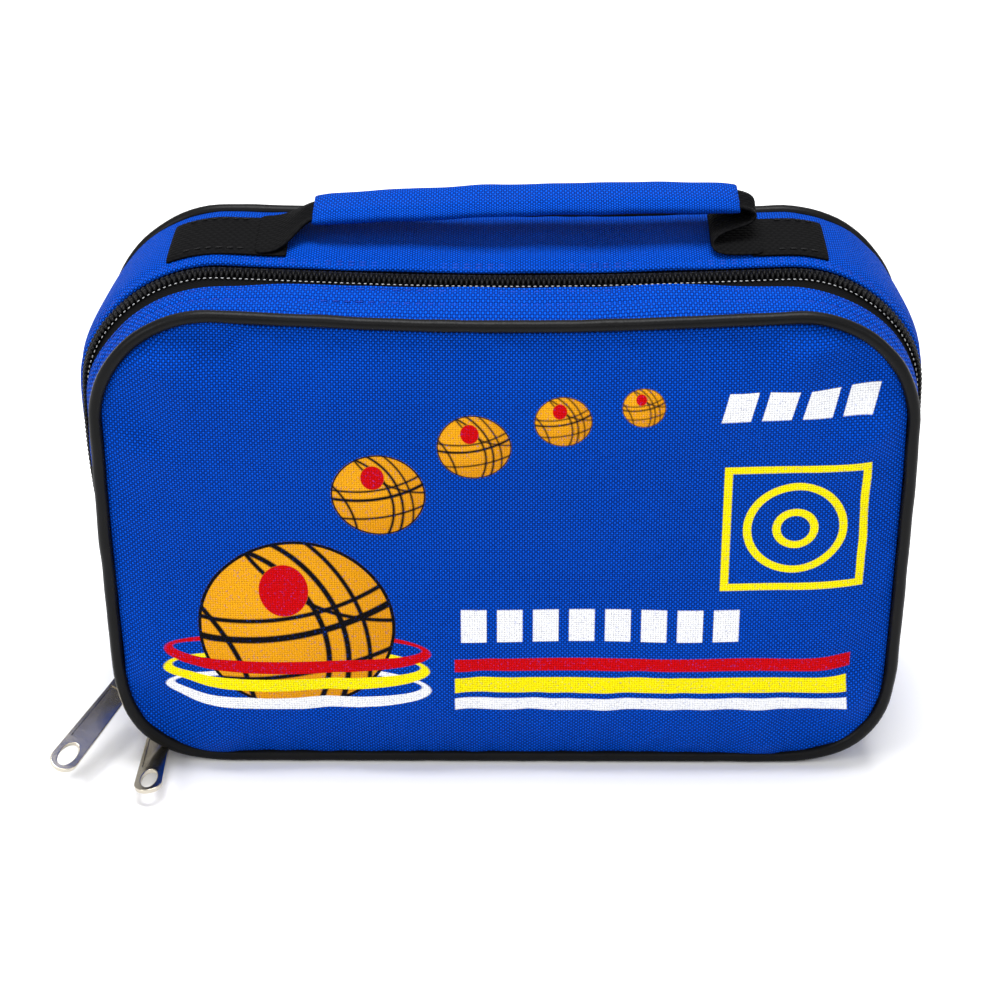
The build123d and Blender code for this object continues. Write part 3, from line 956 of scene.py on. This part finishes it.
zipStart, zipStop = bag["zipEnd"], roundTrip - bag["zipEnd"]
makeTape("zipTapeFront", -1, zipStart, zipStop, "lid", "front_zip_tape")
makeTape("zipTapeRear", 1, zipStart, stubStart(), "rear_shell", "rear_zip_tape")
makeTape("zipTapeRearEnd", 1, stubStart(), zipStop, "lid", "rear_zip_tape_end")
makeCoil("zipCoilFront", -1, zipStart, zipStop, "lid", "front_zip_coil")
makeCoil("zipCoilRear", 1, zipStart, stubStart(), "rear_shell", "rear_zip_coil")
makeCoil("zipCoilRearEnd", 1, stubStart(), zipStop, "lid", "rear_zip_coil_end")
makeStitches("zipThreadFront", "paleThread", "lid", zipStart, zipStop,
             zipChain["dotPitch"], (0.00052, 0.00020, 0.00018),
             lambda distance: outlineFrame(distance, -0.0030, -0.0010))
makeStitches("zipThreadRear", "blackThread", "rear_shell", zipStart, stubStart(),
             zipChain["stitchPitch"], (0.00095, 0.00030, 0.00022),
             lambda distance: outlineFrame(distance, 0.0029, -0.0008))
print("zip made")


def bandSpot(side, share, lift):
    # a place on a blue band, as a share of the way from its seam to its zip edge
    def spotOf(distance):
        spot, outward = placeOnOutline(distance % roundTrip)
        seam = bag["seam"][side]
        hem = zipDepth(spot.y, side * hemOffset(side, spot))
        offset = seam + share * (hem - seam) - zipDepth(spot.y, 0.0)
        return outlineFrame(distance, offset, lift)
    return spotOf


for side, rows in ((-1, (0.50, 0.87)), (1, (0.885, 0.94))):
    for number, share in enumerate(rows, 1):
        makeStitches(f"{sides[side]}BandStitch{number}", "blueThread", shells[side],
                     0.0, roundTrip, band["stitchPitch"], (0.00125, 0.00028, 0.00022),
                     bandSpot(side, share, -0.00035))
print("stitches made")


baseCloth = {
    "pitch": 0.003,
    "thick": 0.0009,
    "sunk": 0.0002,
    "reach": 0.0830,  # from the middle of the base
    "tab": (0.0825, 0.0912),
}


def makeBaseStrip(name, start, end, body, node, material):
    across = [
        (-0.0062, 0.0), (-0.004, -0.00005), (-0.002, -0.0001), (0.0, -0.00015), (0.002, -0.0001),
        (0.004, -0.00005), (0.0062, 0.0),
    ]

    def shape(distance, offset, outset, spot, outward):
        return pointAt(spot, outward, zipDepth(spot.y, offset), outset - baseCloth["sunk"])

    bm = runMesh(start, end, across, baseCloth["pitch"], shape)
    piece = finishMesh(name, bm, material, body, flip=True)
    thicken(piece, baseCloth["thick"], levels=0)
    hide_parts(node)
    return piece


hingeCloth = makeBaseStrip("hingeCloth", -baseCloth["reach"], baseCloth["reach"], None, "hinge_strip",
                           "cloth")
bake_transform(hingeCloth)
tabStart, tabStop = baseCloth["tab"]
makeBaseStrip("zipEndTabRight", tabStart, tabStop, "rear_shell", "zip_end_tab_right",
              "webbing")
makeBaseStrip("zipEndTabLeft", roundTrip - tabStop, roundTrip - tabStart, "rear_shell", "zip_end_tab_left",
              "webbing")
print("base cloth made")


handle = {
    "y": 0.0145,
    "width": 0.025,
    "thick": 0.0013,
    "gripY": 0.0195,  # the webbing is gathered to the rear inside its sleeve
    "gripWidth": 0.0150,
    "sleeveWidth": 0.0182,
    "sleeveThick": 0.0042,
    "rise": (0.0072, 0.0108),  # middle of the grip above the top, at its left and right ends
    "arch": 0.0028,
    "stitchPitch": 0.0030,
    "endPitch": 0.0025,
    "endThick": 0.0011,
    "clothRun": (0.130, 0.042),  # size of the sleeve's cloth, along and round
    "clothThick": 0.0008,
    "crease": 0.0007,
    "dent": 0.0005,
    "strips": 6,
    "gather": (0.0008, 0.0072),  # heights above the top between which the webbing narrows
    "buckle": 0.0010,
}
coreLow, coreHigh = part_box("handle_core")
sleeveLow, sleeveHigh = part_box("handle_sleeve")


def topDistance(x):
    # distance round the outline of a place on the top, from its x
    flat, quarter, rise = legs()[0], legs()[1], legs()[2]
    return flat + 2 * quarter + rise + (flat - x)


def makeWebbingEnd(name, node, start, end):
    half = handle["width"] / 2
    middle = handle["y"]
    across = [
        (middle - half, 0.0003), (middle - half + 0.0006, 0.0011), (middle - 0.006, 0.00125), (middle, 0.0012),
        (middle + 0.006, 0.00125), (middle + half - 0.0006, 0.0011), (middle + half, 0.0003),
    ]

    def shape(distance, depth, outset, spot, outward):
        return pointAt(spot, outward, depth, outset + 0.0002 * ripple(distance, depth, 0.012, 31.0))

    bm = runMesh(start, end, across, handle["endPitch"], shape)
    piece = finishMesh(name, bm, "webbing", "rear_shell", flip=True)
    thicken(piece, handle["endThick"])
    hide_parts(node)


flatHalf = bag["half"] - bag["corner"]
for name, node in (("webbingEndLeft", "handle_end_left"), ("webbingEndRight", "handle_end_right")):
    low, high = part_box(node)
    overrun = max(0.0, abs(low.x) - flatHalf, abs(high.x) - flatHalf)
    bend = math.asin(min(1.0, overrun / bag["corner"])) * bag["corner"]
    inner = low.x if name.endswith("Right") else high.x
    if name.endswith("Left"):
        makeWebbingEnd(name, node, topDistance(inner), topDistance(-flatHalf) + bend)
    else:
        makeWebbingEnd(name, node, topDistance(flatHalf) - bend, topDistance(inner))


def frameOnTop(depth, lift):
    def spotOf(distance):
        spot, outward = placeOnOutline(distance % roundTrip)
        return outlineFrame(distance, depth - zipDepth(spot.y, 0.0), lift)
    return spotOf


def makeEndStitches(name, node, start, end):
    half = handle["width"] / 2 - 0.0028
    for number, depth in enumerate((handle["y"] - half, handle["y"] + half), 1):
        makeStitches(f"{name}{number}", "blackThread", "rear_shell", start, end,
                                 handle["stitchPitch"], (0.0012, 0.0003, 0.00025),
                                 frameOnTop(depth, 0.0013))
    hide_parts(node)


makeEndStitches("endStitchLeft", "handle_stitches_left", topDistance(-0.076), topDistance(-0.096))
makeEndStitches("endStitchRight", "handle_stitches_right", topDistance(0.0915), topDistance(0.0775))


def gripHeight(x):
    # middle line of the grip: a shallow arch, higher at the right end
    share = (x - coreLow.x) / (coreHigh.x - coreLow.x)
    left, right = bag["height"] + handle["rise"][0], bag["height"] + handle["rise"][1]
    return left + (right - left) * share + handle["arch"] * 4 * share * (1 - share)


def makeSleeve():
    bm = bmesh.new()
    uvLayer = bm.loops.layers.uv.new("UVMap")
    rounds, steps = 28, 60
    along, around = handle["clothRun"]
    bmesh.ops.create_grid(bm, x_segments=steps, y_segments=rounds, size=0.5)
    for face in bm.faces:
        for loop in face.loops:
            loop[uvLayer].uv = (loop.vert.co.x * along, loop.vert.co.y * around)
    for vert in bm.verts:
        share, turn = vert.co.x + 0.5, vert.co.y * 2 * math.pi
        x = sleeveLow.x + share * (sleeveHigh.x - sleeveLow.x)
        ease = min(1.0, min(share, 1 - share) / 0.03)
        wide = handle["sleeveWidth"] / 2 * (0.97 + 0.03 * ease) * (1 + 0.02 * ripple(x, 0.0, 0.02, 41.0))
        thick = handle["sleeveThick"] / 2 * (0.70 + 0.30 * ease)
        c, s = math.cos(turn), math.sin(turn)
        y = handle["gripY"] + wide * math.copysign(abs(c) ** 0.75, c)
        flat = thick * math.copysign(abs(s) ** 0.7, s)
        crease = handle["crease"] * math.exp(-((y - handle["gripY"] + 0.0042) / 0.0012) ** 2) if s > 0 else 0.0
        dent = handle["dent"] * ripple(x, y, 0.013, 47.0) * ease
        vert.co = Vector((x, y, gripHeight(x) + flat + crease + dent))
    bmesh.ops.remove_doubles(bm, verts=bm.verts, dist=1e-6)
    bmesh.ops.recalc_face_normals(bm, faces=bm.faces)
    piece = finishMesh("handleSleeve", bm, "cloth")
    for vert in piece.data.vertices:
        vert.co = settle(vert.co)
    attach(piece, "handle")
    thicken(piece, handle["clothThick"])
    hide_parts("handle_sleeve")


def makeStrap(name, route, node, body=None):
    # a flat strap drawn as a line of points in the middle of its thickness, then widened
    bm = bmesh.new()
    uvLayer = bm.loops.layers.uv.new("UVMap")
    row = [bm.verts.new((x, handle["y"] - handle["width"] / 2, z)) for x, z in route]
    edges = [bm.edges.new(pair) for pair in zip(row, row[1:])]
    for _ in range(handle["strips"]):
        made = bmesh.ops.extrude_edge_only(bm, edges=edges)["geom"]
        edges = [item for item in made if isinstance(item, bmesh.types.BMEdge)
                 and abs(item.verts[0].co.y - item.verts[1].co.y) < 1e-9]
        moved = list({vert for edge in edges for vert in edge.verts})
        bmesh.ops.translate(bm, verts=moved, vec=(0, handle["width"] / handle["strips"], 0))
    travelled = [0.0]
    for first, second in zip(route, route[1:]):
        travelled.append(travelled[-1] + math.dist(first, second))
    nearest = {tuple(round(part, 6) for part in point): run for point, run in zip(route, travelled)}
    for face in bm.faces:
        for loop in face.loops:
            key = (round(loop.vert.co.x, 6), round(loop.vert.co.z, 6))
            loop[uvLayer].uv = (nearest.get(key, 0.0), loop.vert.co.y)
    bmesh.ops.recalc_face_normals(bm, faces=bm.faces)
    piece = finishMesh(name, bm, "webbing")
    low, high = (bag["height"] + lift for lift in handle["gather"])
    for vert in piece.data.vertices:
        gathered = smooth(vert.co.z, low, high)
        share = (vert.co.y - handle["y"]) / handle["width"]
        narrow = handle["gripY"] + share * handle["gripWidth"]
        vert.co.y += gathered * (narrow - vert.co.y)
        vert.co.z += gathered * handle["buckle"] * math.sin(share * math.pi * 3.0)
        vert.co = settle(vert.co)
    thicken(piece, handle["thick"], offset=0.0, levels=2)
    if body:
        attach(piece, body)
    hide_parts(node)
    return piece


makeSleeve()
coreSteps = [coreLow.x + (coreHigh.x - coreLow.x) * step / 12 for step in range(13)]
coreRoute = [(x, gripHeight(x)) for x in coreSteps]
makeStrap("handleWebbing", coreRoute, "handle_core", "handle")
top = bag["height"] + handle["thick"] / 2
# each leg leaves its sewn end, bends up and runs into the sleeve
leftRoute = [
    (-0.0735, top + 0.0004), (-0.0700, top + 0.0005), (-0.0665, top + 0.0012), (-0.0630, top + 0.0030),
    (-0.0600, top + 0.0050), (-0.0575, top + 0.0062), (-0.0550, gripHeight(-0.0550)),
    (-0.0500, gripHeight(-0.0500)),
]
rightRoute = [
    (0.0760, top + 0.0004), (0.0700, top + 0.0004), (0.0645, top + 0.0005), (0.0612, top + 0.0012),
    (0.0604, top + 0.0026), (0.0628, top + 0.0038), (0.0680, top + 0.0046), (0.0722, top + 0.0052),
    (0.0740, top + 0.0068), (0.0730, top + 0.0086), (0.0700, top + 0.0098), (0.0670, gripHeight(0.0670)),
    (0.0630, gripHeight(0.0630)),
]
legLeft = makeStrap("webbingLegLeft", leftRoute, "handle_leg_left")
legRight = makeStrap("webbingLegRight", rightRoute, "handle_leg_right")
for leg, x in ((legLeft, -0.060), (legRight, 0.072)):
    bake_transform(leg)
print("handle made")


lining = {
    "wrinkle": 0.0005,
    "start": 0.0112,  # from the zip's middle
    "behind": 0.0034,  # behind the cover's crown
    "margin": 0.0046,
    "thick": 0.0003,
    "pitch": 0.004,
}


def makeLining(side):
    seam, edge = bag["seam"][side], bag["hingeY"]
    across = [(0.0, -0.0016), (0.3, -0.0018), (0.6, -0.0018), (0.9, -0.0018), (1.0, -0.0045)]

    def shape(distance, share, outset, spot, outward):
        first = zipDepth(spot.y, side * lining["start"])
        depth = first + share * (seam - first)
        wave = lining["wrinkle"] * 0.4 * ripple(distance, depth, 0.016, 53.0 + side)
        return pointAt(spot, outward, depth, outset - abs(wave))

    bm = runMesh(0.0, roundTrip, across, lining["pitch"], shape, merge=True, spread=abs(seam - edge))
    wall = finishMesh(f"{sides[side]}LiningWall", bm, "lining", shells[side], flip=side < 0)
    thicken(wall, lining["thick"], levels=0)

    def bumpAt(x, z):
        return -lining["wrinkle"] * abs(noise.noise(Vector((x * 45.0, z * 45.0, 61.0 + side))))

    bm = innerSheet(side, lining["margin"], lining["behind"], bumpAt)
    mapFlat(bm)
    panel = finishMesh(f"{sides[side]}LiningPanel", bm, "lining", shells[side], flip=side < 0)
    thicken(panel, lining["thick"], levels=0)
    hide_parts(f"{sides[side]}_lining")


binding = {"thick": 0.0005, "wrinkle": 0.0002}


def makeBinding(side):
    low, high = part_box(f"{sides[side]}_seam_binding")
    first, last = (low.y, high.y) if side < 0 else (high.y, low.y)
    across = [(0.0, -0.0020), (0.15, -0.0031), (0.5, -0.0033), (0.85, -0.0031), (1.0, -0.0020)]

    def shape(distance, share, outset, spot, outward):
        puckered = outset + binding["wrinkle"] * ripple(distance, share, 0.01, 67.0)
        return pointAt(spot, outward, first + share * (last - first), puckered)

    bm = runMesh(0.0, roundTrip, across, lining["pitch"], shape, merge=True, spread=abs(last - first))
    piece = finishMesh(f"{sides[side]}SeamBinding", bm, "tape", shells[side], flip=side > 0)
    thicken(piece, binding["thick"], levels=0)
    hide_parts(f"{sides[side]}_seam_binding")


for side in sides:
    makeLining(side)
    makeBinding(side)
print("inside made")

kept = {"boule": "steel", "jack": "wood", "pull": "pull", "slider": "slider"}
for name, node in frame["nodes"].items():
    finish = next((value for start, value in kept.items() if name.startswith(start)), None)
    if finish:
        node.data.materials.clear()
        node.data.materials.append(finishes[finish])
print("metal and wood finished")


def makeFloor():
    bm = bmesh.new()
    bmesh.ops.create_grid(bm, x_segments=1, y_segments=1, size=4.0)
    mesh = bpy.data.meshes.new("floor")
    bm.to_mesh(mesh)
    bm.free()
    floor = bpy.data.objects.new("floor", mesh)
    floor.location.z = -0.0002
    bpy.context.scene.collection.objects.link(floor)
    material, tree, shader = newMaterial("paleFloor", 0.75)
    setColour(tree, shader, addNoise(tree, 4.0, 2.0), (0.93, 0.93, 0.93), (0.95, 0.95, 0.95))
    mesh.materials.append(material)


def makeLamp(name, place, aim, size, power):
    light = bpy.data.lights.new(name, "AREA")
    light.shape = "RECTANGLE"
    light.size, light.size_y = size
    light.energy = power
    lamp = bpy.data.objects.new(name, light)
    lamp.location = place
    lamp.rotation_euler = (Vector(aim) - Vector(place)).to_track_quat("-Z", "Y").to_euler()
    bpy.context.scene.collection.objects.link(lamp)


makeFloor()
makeLamp("overhead", (0.0, 0.10, 1.4), (0, 0, 0.1), (0.8, 0.6), 24.0)
makeLamp("leftSoft", (-1.2, -0.8, 0.9), (0, 0, 0.08), (0.6, 0.6), 9.0)
makeLamp("rightSoft", (1.2, -0.7, 0.8), (0, 0, 0.08), (0.6, 0.6), 3.0)
makeLamp("frontSoft", (0.0, -1.5, 1.3), (0, 0, 0.06), (1.0, 0.6), 5.0)

world = bpy.data.worlds.new("studio")
bpy.context.scene.world = world
world.use_nodes = True
world.node_tree.nodes["Background"].inputs["Color"].default_value = (1.0, 1.0, 1.0, 1.0)
world.node_tree.nodes["Background"].inputs["Strength"].default_value = 0.56

cameraSet = {
    "distance": 0.86,
    "elevation": 31.0,
    "azimuth": 0.3,
    "aim": (-0.0014, -0.036, 0.0944),
    "sensor": 36.0,
    "focal": 3.41,  # how many sensor widths the lens is long, for each metre of distance
}


def makeCamera():
    camera = bpy.data.cameras.new("camera")
    camera.sensor_width = cameraSet["sensor"]
    camera.lens = cameraSet["sensor"] * cameraSet["focal"] * cameraSet["distance"]
    eye = bpy.data.objects.new("camera", camera)
    bpy.context.scene.collection.objects.link(eye)
    turn, rise = math.radians(cameraSet["azimuth"]), math.radians(cameraSet["elevation"])
    back = Vector((math.sin(turn) * math.cos(rise), -math.cos(turn) * math.cos(rise), math.sin(rise)))
    eye.location = Vector(cameraSet["aim"]) + back * cameraSet["distance"]
    eye.rotation_euler = (-back).to_track_quat("-Z", "Y").to_euler()
    bpy.context.scene.camera = eye


makeCamera()
bpy.context.scene.view_settings.view_transform = "Standard"
